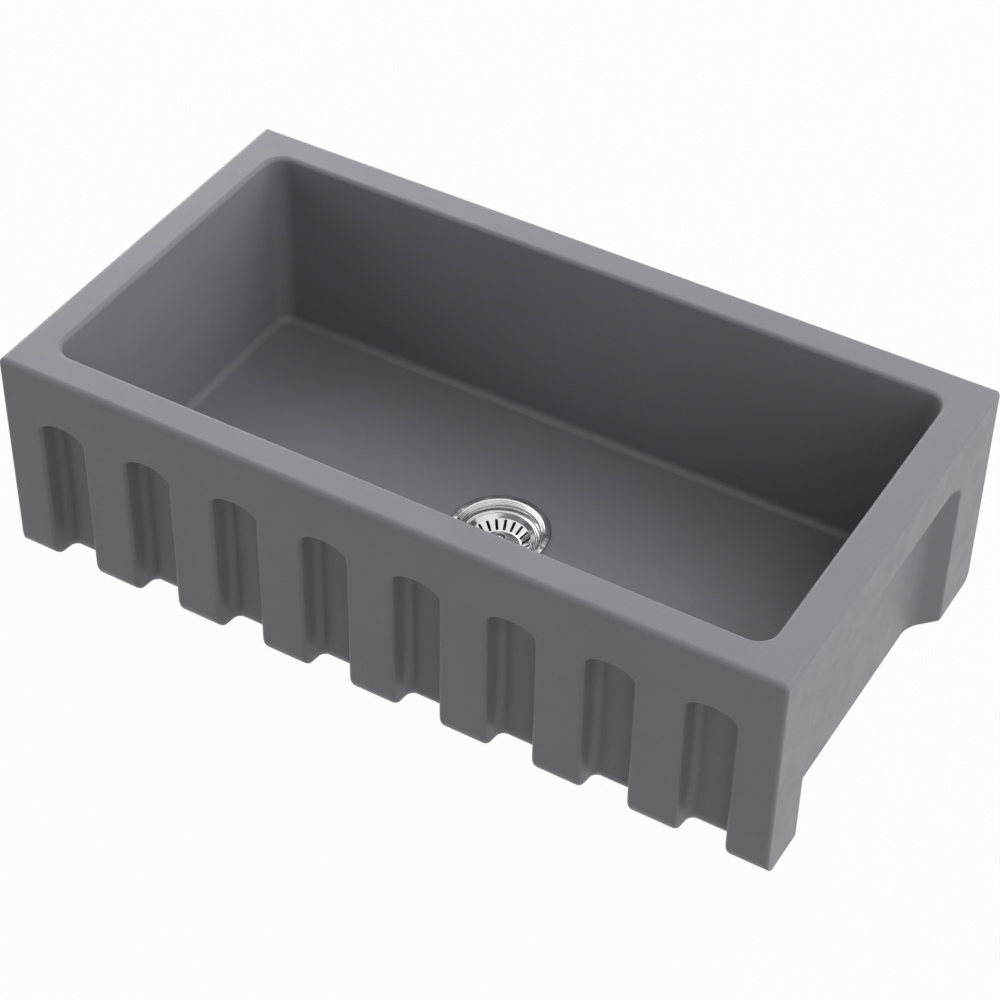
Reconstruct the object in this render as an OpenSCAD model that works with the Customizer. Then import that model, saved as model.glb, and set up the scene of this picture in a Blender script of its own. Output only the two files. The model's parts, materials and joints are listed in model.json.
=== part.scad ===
// Farmhouse apron front sink with a basket strainer, in millimetres, +Z up.
// The origin is the centre of the flat base, and the fluted apron faces -Y.

/* [Basin] */
// Overall width of the sink
sink_w = 838.2; // [700:0.1:1000]
// Size of the sink from its apron to its back
sink_d = 457.2; // [420:0.1:560]
// Height of the sink
sink_h = 247; // [225:0.1:280]
// Width of the rim, which is the wall's thickness at its top
rim_w = 38.1; // [36:0.1:50]
// Thickness of the bowl's floor
floor_t = 32.7; // [29:0.1:38]
// Distance that each bowl wall leans in from the rim to the floor
bowl_lean = 2; // [0.5:0.1:4]
// Plan radius of the bowl's corners at the rim
bowl_corner_r = 20; // [16:0.5:30]
// Radius of the cove between the bowl's walls and floor
bowl_cove_r = 9; // [4:0.5:12]
// Radius of the rim's inner edge
rim_inner_r = 5; // [2:0.5:8]
// Radius of the rim's outer edge
rim_outer_r = 6.3; // [2:0.1:8]
// Radius of the upright corners
corner_r = 4.5; // [2:0.1:8]
// Radius of the roll under the apron and the back
apron_roll_r = 22.5; // [22:0.5:26]
// Radius of the side walls' bottom edge
side_roll_r = 4; // [1:0.5:6]

/* [Apron flutes] */
// Number of flutes in the apron
flute_count = 8; // [4:1:8]
// Width of a flute between its walls at the mouth
flute_w = 50; // [36:0.5:56]
// Depth of a flute
flute_depth = 22.4; // [14:0.1:24]
// Width of the pier beside each outer flute
end_pier_w = 43.4; // [30:0.1:60]
// Distance from the rim down to a flute's crown
flute_drop = 61.3; // [50:0.1:90]
// Rise of the arch that closes a flute
flute_rise = 12; // [11:0.5:20]
// Distance that a flute's walls lean in over its depth
flute_lean = 2.5; // [0:0.1:3]
// Radius of the lip round a flute
flute_lip_r = 4.3; // [1:0.1:6]
// Radius of the cove along a flute's floor
flute_cove_r = 8; // [2:0.1:8.5]
// Radius of the roll under a flute's floor
flute_roll_r = 21.5; // [4:0.5:22]
// Radius of the roll under a flute's side walls
flute_wall_roll_r = 9; // [2:0.5:12]

/* [Side recesses] */
// Depth of the recess in each side wall
recess_depth = 24.3; // [12:0.1:26]
// Width of the pier in front of a recess
recess_front_w = 61; // [50:0.1:90]
// Width of the pier behind a recess
recess_back_w = 73; // [50:0.1:90]
// Distance from the rim down to a recess's crown
recess_drop = 58; // [50:0.1:90]
// Drop of a recess's shoulders under its crown
recess_rise = 21; // [12:0.5:30]
// Length of each of a recess's shoulders
recess_shoulder_w = 45; // [30:0.5:70]
// Angle between a recess's end slopes and its back wall
recess_slope = 44; // [35:1:60]
// Radius of the lip round a recess
recess_lip_r = 5; // [1:0.1:6]
// Radius of the cove under a recess's crown
recess_cove_r = 8; // [2:0.1:10]
// Radius of the cove between a recess's end slopes and its back wall
recess_sweep_r = 34; // [10:0.5:40]

/* [Drain] */
// Diameter of the drain hole in the bowl's floor
drain_d = 88.9; // [88.4:0.1:92]
// Distance of the drain behind the middle of the bowl
drain_back = 12; // [0:0.5:60]
// How far the strainer's flange reaches past the drain hole
flange_lap = 7.95; // [7.5:0.05:13]
// Height of the flange above the bowl's floor
flange_rise = 3; // [2.8:0.1:4]
// How far the flange's mouth opens past the drain hole
mouth_lap = 1.05; // [0.5:0.05:1.5]
// Distance from the drain hole in to the cup's face above its ledge
throat_inset = 3.85; // [3.5:0.05:4.3]
// Width of the cup's ledge, which the basket sits on
ledge_w = 5.4; // [5.2:0.1:6]
// Depth of the cup's floor under the bowl's floor
well_depth = 39; // [38.5:0.1:44]
// Thickness of the strainer's drawn steel
cup_t = 1.2; // [0.8:0.1:1.4]
// Depth of the foot of the mouth's cone under the bowl's floor
throat_drop = 0.8; // [0.6:0.1:1.6]
// Depth of the basket's ledge under the bowl's floor
ledge_drop = 8.5; // [8:0.1:9]

/* [Basket] */
// How far the basket's rolled rim reaches over the cup's ledge
basket_lap = 2.6; // [2.4:0.05:3.2]
// Diameter of the wire edge that the basket's rim is rolled to
basket_bead_d = 2.2; // [1.8:0.1:2.4]
// Depth of the basket's floor under its rim
basket_depth = 12.6; // [11.5:0.1:14]
// Thickness of the basket's steel
basket_t = 0.9; // [0.6:0.1:1]
// Distance from the basket's edge in to the foot of its upper cone
basket_cone_w = 5.8; // [5.4:0.1:6.8]
// Depth of the upper cone's foot under the basket's rim
basket_cone_drop = 5.2; // [4.6:0.1:6]
// Width of the slotted dish between the upper cone's foot and the floor's edge
basket_dish_w = 11.5; // [9.5:0.1:12.5]
// Number of slots round the basket
slot_count = 20; // [12:1:24]
// Width of a slot
slot_w = 2.2; // [1:0.1:2.6]

/* [Stopper] */
// Diameter of the centre post
post_d = 6; // [5:0.1:7]
// Distance that the post is drawn up to open the drain
post_travel = 6.5; // [4:0.1:6.8]
// Diameter of the knob
knob_d = 13; // [12:0.1:18]
// Height of the knob
knob_h = 6.5; // [6:0.1:9]
// How far the stopper's rubber disc reaches past the outlet's bore
seal_lap = 3.2; // [2.4:0.1:3.9]
// Thickness of the rubber disc
seal_t = 3.5; // [2.5:0.1:4]
// Distance from the outlet's bore in to the edge of the plate over the disc
plate_inset = 2.6; // [0.6:0.1:5]

/* [Outlet and fixing] */
// Distance from the cup's wall under its ledge in to the outlet's thread
thread_inset = 11.3; // [10.2:0.1:11.7]
// Wall of the outlet, thread and all
outlet_wall = 4.3; // [4:0.1:4.4]
// Length of the outlet under the cup
outlet_l = 42.8; // [40:0.1:60]
// Depth of the clamp shell under the sink
shell_depth = 22; // [20:0.1:24]
// Width of the clamp shell's rim
shell_rim_w = 11; // [6:0.1:20]
// Height of the locknut
locknut_h = 9; // [7:0.1:12]
// Number of lugs on the locknut
locknut_lugs = 6; // [3:1:8]
// Number of ribs on the coupling nut
coupling_ribs = 12; // [6:1:16]
// Distance from the outlet's thread in to the outside of the tailpiece
tail_inset = 4.85; // [4.85:0.05:5.9]
// Length of the tailpiece
tail_l = 101.6; // [80:0.1:200]

/* [Hidden] */
$fn = 96;

// How far a cutter runs past the face that it cuts
overrun = 5;
// Clearance of a piece that moves or turns in another
running = 0.05;
// Clearance of a soft or loosely seated piece
clearance = 0.3;
// Steps in a rounded corner, and in the curves of the larger lofts
arc_steps = 6;
loft_steps = 4;

// Colours as the photograph shows them
fireclay = [0.42, 0.43, 0.45];
steel = [0.78, 0.79, 0.8];
brass = [0.75, 0.62, 0.34];
rubber = [0.12, 0.12, 0.13];
fibre = [0.45, 0.32, 0.22];
nylon = [0.85, 0.85, 0.82];

// Basin values
bowl_x = sink_w / 2 - rim_w;
bowl_y = sink_d / 2 - rim_w;
front_y = -sink_d / 2;
floor_z = floor_t;
flute_pitch = (sink_w - 2 * end_pier_w - flute_w) / (flute_count - 1);
flute_spring_z = sink_h - flute_drop - flute_rise;
recess_spring_z = sink_h - recess_drop - recess_rise;
hole_chamfer = 0.6;

// Strainer values, with radii from the drain's axis
drain_r = drain_d / 2;
flange_r = drain_r + flange_lap;
flange_edge_gap = 0.1;
flange_edge_r = 1.8;
mouth_r = drain_r + mouth_lap;
mouth_curve_r = 1.6;
throat_r = drain_r - throat_inset;
throat_curve_r = 2;
ledge_cove_r = 1.4;
ledge_edge_r = 1.5;
well_r = throat_r - ledge_w;
well_cove_r = 6;
ledge_z = floor_z - ledge_drop;
well_z = floor_z - well_depth;
flange_gasket_t = flange_rise - cup_t;
gasket_inset = 1;

// Outlet values
thread_r = well_r - thread_inset;
bore_r = thread_r - outlet_wall;
spud_neck_wall = 0.6;
spud_neck_r = bore_r + spud_neck_wall;
spud_lip_r = thread_r;
spud_lip_t = 1.2;
spud_lip_round = 0.5;
spud_top_z = well_z + spud_lip_t;
spud_shoulder_z = well_z - cup_t;
spud_end_z = spud_shoulder_z - outlet_l;
cross_h = 5;
cross_wall = 1.4;
cross_bar_w = 2.4;
cross_hub_r = 4;
cross_drop = 14;
cross_z = spud_shoulder_z - cross_drop;

// Clamp values
clamp_gasket_t = 4;
shell_t = 1.5;
shell_throat_gap = 3.4;
shell_well_gap = 4.2;
shell_mouth_r = throat_r + cup_t + shell_throat_gap;
shell_foot_r = well_r + cup_t + shell_well_gap;
shell_rim_r = shell_mouth_r + shell_rim_w;
shell_mouth_curve_r = 2.5;
shell_foot_curve_r = 5;
shell_bottom_z = -shell_depth - shell_t;
fibre_t = 1.2;
fibre_w = 12;
locknut_top_z = shell_bottom_z - fibre_t;
locknut_wall = 6;
lug_w = 9;
lug_l = 6;

// Tailpiece values
tail_r = thread_r - tail_inset;
tail_t = 0.9;
tail_flange_gap = 0.5;
tail_flange_r = thread_r - tail_flange_gap;
tail_curve_r = 1.6;
tail_neck_inset = 0.2;
tail_neck_l = 6;
tail_neck_taper = 0.5;
tail_neck_r = tail_r - tail_neck_inset;
tail_washer_t = 1.5;
tail_top_z = spud_end_z - tail_washer_t;
coupling_wall = 3.2;
coupling_lip_t = 3;
coupling_engage = 11;
coupling_bottom_z = tail_top_z - tail_t - coupling_lip_t;
coupling_bore_r = tail_neck_r + tail_curve_r - tail_t + running;
coupling_top_z = spud_end_z + coupling_engage;
rib_r = 1.6;
coupling_chamfer = 1;
rib_inset = 2.5;

// Basket values
bead_r = basket_bead_d / 2;
basket_r = well_r + basket_lap;
bead_ring_r = basket_r - bead_r;
basket_rim_z = ledge_z + clearance + basket_bead_d;
basket_floor_z = basket_rim_z - basket_depth;
basket_cone_r = basket_r - basket_cone_w;
basket_floor_r = basket_cone_r - basket_dish_w;
basket_cone_curve_r = 4;
basket_foot_curve_r = 10;
slot_inner_gap = 3;
slot_inner_r = basket_floor_r + slot_inner_gap;
slot_drop = 5.7;
slot_top_z = basket_rim_z - slot_drop;

// Stopper values
post_r = post_d / 2;
bush_wall = 1.6;
bush_flange_r = 8;
bush_top_t = 0.8;
bush_bottom_t = 1.2;
bush_r = post_r + running + bush_wall;
ring_wire_r = 0.55;
ring_gap = 0.1;
ring_r = post_r + ring_gap + ring_wire_r;
bush_top_z = basket_floor_z + bush_top_t;
bush_bottom_z = basket_floor_z - basket_t - bush_bottom_t;
ring_z = (bush_top_z + bush_bottom_z) / 2;
seal_r = bore_r + seal_lap;
plate_r = bore_r - plate_inset;
seal_bottom_z = spud_top_z + clearance;
seal_top_z = seal_bottom_z + seal_t;
seal_edge = 1.4;
plate_t = 1;
plate_top_z = seal_top_z + plate_t;
shoulder_t = bush_bottom_z - plate_top_z - post_travel - clearance;
shoulder_r = post_r + bush_wall;
nut_flat = 10;
nut_h = 5;
nut_z = seal_bottom_z - nut_h;
post_tip = 1.5;
post_tip_chamfer = 0.8;
post_bottom_z = nut_z - post_tip;
knob_z = bush_top_z + clearance;
knob_top_z = knob_z + knob_h;
knob_cap = 1.6;
post_top_z = knob_top_z - knob_cap;
knob_neck_h = 2.2;
knob_rim_h = 2;
knob_crown = 0.8;

// Unit vector along v
function unit(v) = v / norm(v);

// Points of the arc of radius r that rounds the corner at q between p and s
function corner_arc(p, q, s, r) =
    let (a = unit(p - q), b = unit(s - q), half = acos(a * b) / 2)
    let (c = q + unit(a + b) * r / sin(half), first = q + a * r / tan(half))
    let (start = atan2(first.y - c.y, first.x - c.x))
    let (sweep = (180 - 2 * half) * (cross(a, b) > 0 ? -1 : 1))
    [for (k = [0 : arc_steps]) let (turn = start + sweep * k / arc_steps) c + r * [cos(turn), sin(turn)]];

// Open path through corners [x, y, radius], each inner corner rounded to its radius
function rounded_path(corners) = [
    for (i = [0 : len(corners) - 1])
        let (q = [corners[i][0], corners[i][1]], r = corners[i][2])
        each (i == 0 || i == len(corners) - 1 || r == 0) ? [q] :
            corner_arc([corners[i - 1][0], corners[i - 1][1]], q, [corners[i + 1][0], corners[i + 1][1]], r)
];

// Closed rectangle from low to high, with the radii of its corners in turn from the low one
function rounded_box(low, high, radii) =
    let (p = [low, [high.x, low.y], high, [low.x, high.y]])
    [for (i = [0 : 3]) each corner_arc(p[(i + 3) % 4], p[i], p[(i + 1) % 4], radii[i])];

// The path moved sideways by d, to its left
function moved_path(path, d) = [
    for (i = [0 : len(path) - 1])
        let (a = unit(i == 0 ? path[1] - path[0] : path[i] - path[i - 1]))
        let (b = unit(i == len(path) - 1 ? path[i] - path[i - 1] : path[i + 1] - path[i]))
        let (n = unit([-a.y - b.y, a.x + b.x]))
        path[i] + n * d / (n * [-a.y, a.x])
];

// Outline of a sheet of thickness t whose face follows the path
function sheet(path, t) =
    let (back = moved_path(path, t))
    concat(path, [for (i = [len(back) - 1 : -1 : 0]) back[i]]);

// Inset of a lip of radius r at a depth: it opens outwards near the face
function lip_inset(depth, r) = depth >= r ? 0 : depth <= 0 ? -r : sqrt(r * r - (r - depth) * (r - depth)) - r;

// Inset of a cove of radius r at a depth, above a floor at full depth
function cove_inset(depth, full, r) =
    depth <= full - r ? 0 : r - sqrt(max(0, r * r - pow(depth - full + r, 2)));

// Arched outline [u, v] from low to high: upright sides, a shoulder at each end and a flat crown between them
function arched(low, high, spring, rise, shoulder) = concat(
    [[high, -overrun]],
    [for (k = [0 : loft_steps]) let (a = 90 * k / loft_steps)
        [high - shoulder + shoulder * cos(a), spring + rise * sin(a)]],
    [for (k = [0 : loft_steps]) let (a = 90 - 90 * k / loft_steps)
        if (k > 0 || high - low > 2 * shoulder) [low + shoulder - shoulder * cos(a), spring + rise * sin(a)]],
    [[low, -overrun]]
);

// Ring of a rounded rectangle of half sizes x and y, at height z
function plan_ring(x, y, r, z) = [for (p = rounded_box([-x, -y], [x, y], [r, r, r, r])) [p.x, p.y, z]];

// Solid through rings of as many points each, from its mouth inwards, anticlockwise seen from the mouth.
// The last ring may bend back at its first and last points: strips close both ends there
module loft(rings, strips = 0) {
    n = len(rings[0]);
    last = len(rings) - 1;
    sides = [
        for (i = [0 : last - 1], j = [0 : n - 1])
            let (a = i * n + j, b = i * n + (j + 1) % n)
            each [[a, b, b + n], [a, b + n, a + n]]
    ];
    caps = [[for (j = [n - 1 - strips : -1 : strips]) j], [for (j = [strips : n - 1 - strips]) last * n + j]];
    bent = strips == 0 ? [] : [
        for (j = [0 : strips - 1])
            each [[n - 1 - j, n - 2 - j, j + 1, j], [for (k = [j, j + 1, n - 2 - j, n - 1 - j]) last * n + k]]
    ];
    polyhedron(points = [for (ring = rings) each ring], faces = concat(sides, caps, bent), convexity = 4);
}

// Round piece whose outline is given as points [radius, height]
module turned(points) {
    rotate_extrude() polygon(points);
}

// Flat ring from z up by h
module ring(inner_r, outer_r, z, h) {
    turned([[inner_r, z], [outer_r, z], [outer_r, z + h], [inner_r, z + h]]);
}

// What follows is placed on the drain's axis
module at_drain() {
    translate([0, drain_back, 0]) children();
}

// The sink's outer form: its plan, side and front outlines, each with its own rounded edges
module outer_block() {
    half_w = sink_w / 2;
    half_d = sink_d / 2;
    plan_radii = [corner_r, corner_r, corner_r, corner_r];
    side_radii = [apron_roll_r, apron_roll_r, rim_outer_r, rim_outer_r];
    front_radii = [side_roll_r, side_roll_r, rim_outer_r, rim_outer_r];
    intersection() {
        linear_extrude(sink_h) polygon(rounded_box([-half_w, -half_d], [half_w, half_d], plan_radii));
        rotate([90, 0, 90]) translate([0, 0, -half_w]) linear_extrude(sink_w)
            polygon(rounded_box([-half_d, 0], [half_d, sink_h], side_radii));
        rotate([90, 0, 0]) translate([0, 0, -half_d]) linear_extrude(sink_d)
            polygon(rounded_box([-half_w, 0], [half_w, sink_h], front_radii));
    }
}

// Space of the bowl: coved floor, leaning walls and the rounded inner edge of the rim
module bowl_space() {
    wall_z = floor_z + bowl_cove_r;
    edge_z = sink_h - rim_inner_r;
    function bowl_ring(inset, z) = plan_ring(bowl_x - inset, bowl_y - inset, bowl_corner_r - inset, z);
    edge_rings = [for (k = [loft_steps : -1 : 0]) let (a = 90 * k / loft_steps)
        bowl_ring(rim_inner_r * (cos(a) - 1), edge_z + rim_inner_r * sin(a))];
    cove_rings = [for (k = [loft_steps : -1 : 0]) let (a = 90 * k / loft_steps)
        bowl_ring(bowl_lean + bowl_cove_r * (1 - sin(a)), wall_z - bowl_cove_r * cos(a))];
    loft(concat([bowl_ring(-rim_inner_r, sink_h + overrun)], edge_rings, cove_rings));
}

// Depths at which a lipped and coved cutter has its rings
function cutter_depths(full, lip, cove) = concat(
    [-overrun],
    [for (k = [0 : loft_steps]) lip * (1 - cos(90 * k / loft_steps))],
    [for (k = [0 : loft_steps]) full - cove + cove * sin(90 * k / loft_steps)]
);

// How far a face has drawn back at height z over a bottom roll of radius r
function flare(z, r) = z >= r ? 0 : r - sqrt(r * r - (r - z) * (r - z));

// Share of a flute's wall in its surface at a depth: none where its lip or cove lies flat
function wall_share(d) =
    d <= 0 ? 0 :
    d < flute_lip_r ? sqrt(1 - pow(1 - d / flute_lip_r, 2)) :
    sqrt(max(0, 1 - pow(max(0, d - flute_depth + flute_cove_r) / flute_cove_r, 2)));

// Space of one flute, on the middle of the apron: an arched outline that narrows with depth and runs
// out over the rolls under the apron, the flute's walls and its floor
module flute_space() {
    half_w = flute_w / 2;
    levels = [for (k = [0 : arc_steps]) apron_roll_r * (1 - cos(90 * k / arc_steps))];
    foot_points = len(levels) + 1;
    rings = [
        for (d = cutter_depths(flute_depth, flute_lip_r, flute_cove_r))
            let (inset = lip_inset(d, flute_lip_r) + cove_inset(d, flute_depth, flute_cove_r))
            let (share = max(0, d) / flute_depth)
            let (lean = flute_lean * share)
            let (w = half_w - inset - lean)
            let (arch = arched(-w, w, flute_spring_z, flute_rise - inset - lean, w))
            let (foot = [for (z = concat([-overrun], levels)) let (h = max(0, z)) [
                w + wall_share(d) * flare(h, flute_wall_roll_r),
                front_y + d + (d < 0 ? 0 : (1 - share) * flare(h, apron_roll_r) + share * flare(h, flute_roll_r)),
                z
            ]])
            concat(
                foot,
                [for (i = [1 : len(arch) - 2]) [arch[i].x, front_y + d, arch[i].y]],
                [for (i = [foot_points - 1 : -1 : 0]) [-foot[i].x, foot[i].y, foot[i].z]]
            )
    ];
    loft(rings, foot_points - 1);
}

// Space of the recess in the right side wall: its ends slope in to the back wall in a wide sweep
module recess_space() {
    low = front_y + recess_front_w;
    high = -front_y - recess_back_w;
    run = recess_depth / tan(recess_slope);
    slope_path = rounded_path([
        [0, -recess_lip_r, 0], [0, 0, recess_lip_r], [recess_depth, run, recess_sweep_r],
        [recess_depth, run + recess_sweep_r, 0]
    ]);
    // Each end's path as [depth, inset], from the face to where it meets the back wall
    ends = concat([[-overrun, slope_path[1].y]], [for (i = [1 : len(slope_path) - 2]) slope_path[i]]);
    loft([
        for (p = ends)
            let (crown = lip_inset(p.x, recess_lip_r) + cove_inset(p.x, recess_depth, recess_cove_r))
            let (rise = recess_rise - crown)
            [for (q = arched(low + p.y, high - p.y, recess_spring_z, rise, recess_shoulder_w))
                [sink_w / 2 - p.x, q.x, q.y]]
    ]);
}

// Drain hole with a small chamfer at each end
module drain_space() {
    at_drain() {
        translate([0, 0, -overrun]) cylinder(r = drain_r, h = floor_t + 2 * overrun);
        turned([[0, 0], [drain_r + hole_chamfer, 0], [drain_r, hole_chamfer], [0, hole_chamfer]]);
        turned([
            [0, floor_z - hole_chamfer], [drain_r, floor_z - hole_chamfer],
            [drain_r + hole_chamfer, floor_z], [0, floor_z]
        ]);
    }
}

// Fireclay sink, one fired piece
module basin() {
    color(fireclay) difference() {
        outer_block();
        bowl_space();
        for (i = [0 : flute_count - 1])
            translate([(i - (flute_count - 1) / 2) * flute_pitch, 0, 0]) flute_space();
        recess_space();
        mirror([1, 0, 0]) recess_space();
        drain_space();
    }
}

// Soft ring that seals the flange on the bowl's floor
module flange_gasket() {
    color(rubber) at_drain()
        ring(mouth_r + gasket_inset, flange_r - flange_edge_r - gasket_inset, floor_z, flange_gasket_t);
}

// Drawn cup: rolled flange, coned mouth, ledge for the basket, and the well with its hole
module strainer_cup() {
    top = floor_z + flange_rise;
    face = rounded_path([
        [flange_r, floor_z + flange_edge_gap, 0],
        [flange_r, top, flange_edge_r],
        [mouth_r, top, mouth_curve_r],
        [throat_r, floor_z - throat_drop, throat_curve_r],
        [throat_r, ledge_z, ledge_cove_r],
        [well_r, ledge_z, ledge_edge_r],
        [well_r, well_z, well_cove_r],
        [spud_neck_r + running, well_z, 0]
    ]);
    color(steel) at_drain() turned(sheet(face, cup_t));
}

// Threaded outlet, swaged over the cup's floor
module outlet_spud() {
    color(brass) at_drain() turned([
        [bore_r, spud_end_z],
        [thread_r, spud_end_z],
        [thread_r, spud_shoulder_z],
        [spud_neck_r, spud_shoulder_z],
        [spud_neck_r, well_z],
        [spud_lip_r, well_z],
        [spud_lip_r, spud_top_z - spud_lip_round],
        [spud_lip_r - spud_lip_round, spud_top_z],
        [bore_r + spud_lip_round, spud_top_z],
        [bore_r, spud_top_z - spud_lip_round]
    ]);
}

// Guard cross pressed into the outlet
module outlet_cross() {
    outer_r = bore_r - running;
    bar_l = 2 * outer_r - cross_wall;
    color(steel) at_drain() translate([0, 0, cross_z]) {
        ring(outer_r - cross_wall, outer_r, 0, cross_h);
        cylinder(r = cross_hub_r, h = cross_h);
        for (a = [0, 90]) rotate(a)
            translate([-bar_l / 2, -cross_bar_w / 2, 0]) cube([bar_l, cross_bar_w, cross_h]);
    }
}

// Rubber ring between the sink and the clamp shell
module clamp_gasket() {
    color(rubber) at_drain()
        ring(shell_mouth_r - gasket_inset, shell_rim_r, -clamp_gasket_t, clamp_gasket_t);
}

// Outer cup that the locknut pulls up against the sink
module clamp_shell() {
    face = rounded_path([
        [shell_rim_r, -clamp_gasket_t, 0],
        [shell_mouth_r, -clamp_gasket_t, shell_mouth_curve_r],
        [shell_foot_r, -shell_depth, shell_foot_curve_r],
        [thread_r + clearance, -shell_depth, 0]
    ]);
    color(steel) at_drain() turned(sheet(face, shell_t));
}

// Slip washer between the clamp shell and the locknut
module fibre_washer() {
    color(fibre) at_drain() ring(thread_r + clearance, thread_r + fibre_w, locknut_top_z, fibre_t);
}

// Lugged nut on the outlet's thread
module locknut() {
    inner_r = thread_r + running;
    outer_r = inner_r + locknut_wall;
    bottom = locknut_top_z - locknut_h;
    lug_start = inner_r + locknut_wall / 2;
    color(brass) at_drain() union() {
        ring(inner_r, outer_r, bottom, locknut_h);
        for (i = [0 : locknut_lugs - 1]) rotate(360 * (i + 1 / 2) / locknut_lugs)
            translate([lug_start, -lug_w / 2, bottom]) cube([outer_r + lug_l - lug_start, lug_w, locknut_h]);
    }
}

// Sealing washer between the outlet and the tailpiece
module tailpiece_washer() {
    color(nylon) at_drain() ring(bore_r, tail_flange_r, tail_top_z, tail_washer_t);
}

// Flanged tube that goes to the trap, necked where its nut sits
module tailpiece() {
    neck_z = tail_top_z - tail_neck_l;
    face = rounded_path([
        [tail_flange_r, tail_top_z, 0],
        [tail_neck_r - tail_t, tail_top_z, tail_curve_r],
        [tail_neck_r - tail_t, neck_z, 0],
        [tail_r - tail_t, neck_z - tail_neck_taper, 0],
        [tail_r - tail_t, tail_top_z - tail_l, 0]
    ]);
    color(steel) at_drain() turned(sheet(face, tail_t));
}

// Ribbed nut that holds the tailpiece's flange against its washer
module coupling_nut() {
    inner_r = thread_r + running;
    outer_r = inner_r + coupling_wall;
    color(brass) at_drain() {
        turned([
            [coupling_bore_r, coupling_bottom_z],
            [outer_r - coupling_chamfer, coupling_bottom_z],
            [outer_r, coupling_bottom_z + coupling_chamfer],
            [outer_r, coupling_top_z - coupling_chamfer],
            [outer_r - coupling_chamfer, coupling_top_z],
            [inner_r, coupling_top_z],
            [inner_r, coupling_bottom_z + coupling_lip_t],
            [coupling_bore_r, coupling_bottom_z + coupling_lip_t]
        ]);
        for (i = [0 : coupling_ribs - 1]) rotate(360 * i / coupling_ribs)
            translate([outer_r, 0, coupling_bottom_z + rib_inset])
                cylinder(r = rib_r, h = coupling_top_z - coupling_bottom_z - 2 * rib_inset);
    }
}

// Slot cutter on +X, round at its inner end
module slot_space() {
    z = basket_floor_z - basket_t - overrun;
    translate([slot_inner_r, 0, z]) cylinder(r = slot_w / 2, h = slot_top_z - z);
    translate([slot_inner_r, -slot_w / 2, z]) cube([basket_r - slot_inner_r, slot_w, slot_top_z - z]);
}

// Pressed basket: wired rim, upper cone, slotted dish and flat floor
module basket_shell() {
    face = rounded_path([
        [bead_ring_r - bead_r, basket_rim_z - bead_r, 0],
        [basket_cone_r, basket_rim_z - basket_cone_drop, basket_cone_curve_r],
        [basket_floor_r, basket_floor_z, basket_foot_curve_r],
        [bush_r + running, basket_floor_z, 0]
    ]);
    color(steel) at_drain() difference() {
        union() {
            turned(sheet(face, basket_t));
            rotate_extrude() translate([bead_ring_r, basket_rim_z - bead_r]) circle(r = bead_r);
        }
        for (i = [0 : slot_count - 1]) rotate(360 * i / slot_count) slot_space();
    }
}

// Bush in the basket's floor, grooved for the post's ring
module basket_bush() {
    groove_r = ring_r + ring_wire_r;
    groove_h = ring_wire_r + running;
    inner_r = post_r + running;
    color(nylon) at_drain() turned([
        [inner_r, bush_bottom_z],
        [bush_flange_r, bush_bottom_z],
        [bush_flange_r, basket_floor_z - basket_t],
        [bush_r, basket_floor_z - basket_t],
        [bush_r, basket_floor_z],
        [bush_flange_r, basket_floor_z],
        [bush_flange_r, bush_top_z],
        [inner_r, bush_top_z],
        [inner_r, ring_z + groove_h],
        [groove_r, ring_z + groove_h],
        [groove_r, ring_z - groove_h],
        [inner_r, ring_z - groove_h]
    ]);
}

// Ring that grips the post
module post_ring() {
    color(rubber) at_drain() rotate_extrude() translate([ring_r, ring_z]) circle(r = ring_wire_r);
}

// Centre post with the shoulder that the stopper is clamped against
module post() {
    color(steel) at_drain() turned([
        [0, post_bottom_z],
        [post_r - post_tip_chamfer, post_bottom_z],
        [post_r, post_bottom_z + post_tip_chamfer],
        [post_r, plate_top_z],
        [shoulder_r, plate_top_z],
        [shoulder_r, plate_top_z + shoulder_t],
        [post_r, plate_top_z + shoulder_t],
        [post_r, post_top_z],
        [0, post_top_z]
    ]);
}

// Turned knob, waisted under its rim, with the blind bore for the post
module knob() {
    bore = post_r + running;
    r = knob_d / 2;
    color(steel) at_drain() turned([
        [bore, knob_z],
        [shoulder_r, knob_z],
        [shoulder_r, knob_z + knob_neck_h],
        [r, knob_top_z - knob_crown - knob_rim_h],
        [r, knob_top_z - knob_crown],
        [r - knob_crown, knob_top_z],
        [0, knob_top_z],
        [0, post_top_z],
        [bore, post_top_z]
    ]);
}

// Rubber disc that closes the outlet, thinner at its edge
module stopper_seal() {
    color(rubber) at_drain() turned([
        [post_r + running, seal_bottom_z],
        [seal_r - seal_edge, seal_bottom_z],
        [seal_r, seal_bottom_z + seal_edge],
        [seal_r, seal_top_z - seal_edge / 2],
        [plate_r, seal_top_z],
        [post_r + running, seal_top_z]
    ]);
}

// Plate that backs the rubber disc
module stopper_plate() {
    color(steel) at_drain() ring(post_r + running, plate_r, seal_top_z, plate_t);
}

// Hex nut that clamps the disc and plate to the post's shoulder
module stopper_nut() {
    color(brass) at_drain() translate([0, 0, nut_z]) difference() {
        cylinder(d = nut_flat / cos(30), h = nut_h, $fn = 6);
        translate([0, 0, -overrun]) cylinder(r = post_r + running, h = nut_h + 2 * overrun);
    }
}

basin();
flange_gasket();
strainer_cup();
outlet_spud();
outlet_cross();
clamp_gasket();
clamp_shell();
fibre_washer();
locknut();
tailpiece_washer();
tailpiece();
coupling_nut();
basket_shell();
basket_bush();
post_ring();
post();
knob();
stopper_seal();
stopper_plate();
stopper_nut();
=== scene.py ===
"""Farmhouse apron front sink with its basket strainer, dressed for rendering."""

import json
import math

import bmesh
import bpy
from mathutils import Matrix, Vector


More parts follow.
